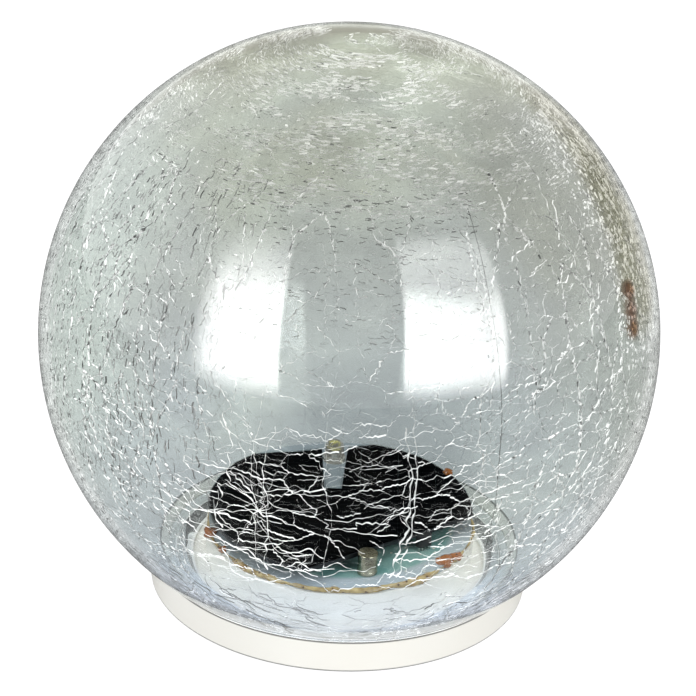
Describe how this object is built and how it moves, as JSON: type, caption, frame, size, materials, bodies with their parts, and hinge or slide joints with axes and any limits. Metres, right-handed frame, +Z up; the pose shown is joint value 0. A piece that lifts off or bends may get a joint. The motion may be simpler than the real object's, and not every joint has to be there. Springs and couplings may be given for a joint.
{
  "type": "garden globe light",
  "caption": "Solar garden light: crackled glass globe on a low round white base with a raised solar panel and a light inside.",
  "frame": {"origin": "middle of the resting plane under the rubber feet", "axes": "+Z up through the middle of the globe, -Y towards the side the picture shows as the front"},
  "size_m": [0.15, 0.15, 0.1423],
  "materials": {
    "crackled_glass": "clear soda glass, crackled through its wall",
    "clear_silicone": "clear silicone",
    "white_plastic": "satin warm white",
    "screw_steel": "zinc plated",
    "black_foam": "closed-cell foam",
    "cell_steel": "nickel plated",
    "cell_sleeve": "shrunk film",
    "white_card": "pressed card",
    "nickel_contact": "nickel plated spring steel",
    "switch_metal": "tinned sheet",
    "black_plastic": "moulded",
    "white_wire": "vinyl",
    "red_wire": "vinyl",
    "black_wire": "vinyl",
    "teal_board": "lacquered laminate",
    "amber_sealant": "aged hot-melt",
    "capacitor_metal": "drawn can",
    "inductor_lacquer": "dipped",
    "tinned_wire": "tinned",
    "solder": "solder",
    "pale_board": "pale laminate",
    "clear_resin": "clear epoxy",
    "yellow_phosphor": "phosphor in resin",
    "pale_blue_plastic": "translucent tube",
    "dark_cell": "coated silicon",
    "white_foam": "foam tape",
    "grey_rubber": "moulded"
  },
  "bodies": {
    "lamp": {"base_housing": "white_plastic", "battery_lead_black": "black_wire", "battery_lead_red": "red_wire", "board_sealant": "amber_sealant", "boost_inductor": "inductor_lacquer", "bottom_cover": "white_plastic", "component_legs": "tinned_wire", "cover_screws": "screw_steel", "driver_board": "teal_board", "driver_chip": "black_plastic", "foam_pad_1": "white_foam", "foam_pad_2": "white_foam", "foam_pad_3": "white_foam", "foot_1": "grey_rubber", "foot_2": "grey_rubber", "foot_3": "grey_rubber", "foot_4": "grey_rubber", "globe_gasket": "clear_silicone", "globe_glass": "crackled_glass", "globe_sealant": "clear_silicone", "led_legs": "tinned_wire", "led_lens": "clear_resin", "led_phosphor": "yellow_phosphor", "led_spacer": "pale_blue_plastic", "panel_base": "pale_board", "panel_coating": "clear_resin", "panel_lead_black": "black_wire", "panel_lead_red": "red_wire", "plate_contact": "nickel_contact", "smoothing_capacitor": "capacitor_metal", "solar_cell_1": "dark_cell", "solar_cell_2": "dark_cell", "solar_cell_3": "dark_cell", "solar_cell_4": "dark_cell", "solar_cell_5": "dark_cell", "solar_cell_6": "dark_cell", "solar_cell_7": "dark_cell", "solder_joints": "solder", "spring_contact": "nickel_contact", "switch_body": "switch_metal", "switch_lead_1": "white_wire", "switch_lead_2": "white_wire", "switch_terminals": "nickel_contact"},
    "door": {"battery_door": "white_plastic", "door_gasket": "black_foam"},
    "door_screw": {"door_screw": "screw_steel"},
    "cell": {"battery_can": "cell_steel", "battery_sleeve": "cell_sleeve", "battery_insulator": "white_card", "battery_cap": "cell_steel"},
    "knob": {"switch_knob": "black_plastic"}
  },
  "joints": [
    {"name": "switch_slide", "type": "slide", "parent": "lamp", "child": "knob", "axis": [1, 0, 0], "range_m": [0, 0.002]},
    {"name": "door_lift", "type": "slide", "parent": "lamp", "child": "door", "axis": [0, 0, -1], "range_m": [0, 0.06]},
    {"name": "door_screw_turn", "type": "hinge", "parent": "door", "child": "door_screw", "pos_m": [0.02865, 0, 0.001], "axis": [0, 0, -1], "continuous": true},
    {"name": "battery_lift", "type": "slide", "parent": "lamp", "child": "cell", "axis": [0, 0, -1], "range_m": [0, 0.03]}
  ],
  "couplings": [
    {"joint": "battery_lift", "follows": "door_lift", "ratio": 0.5}
  ]
}
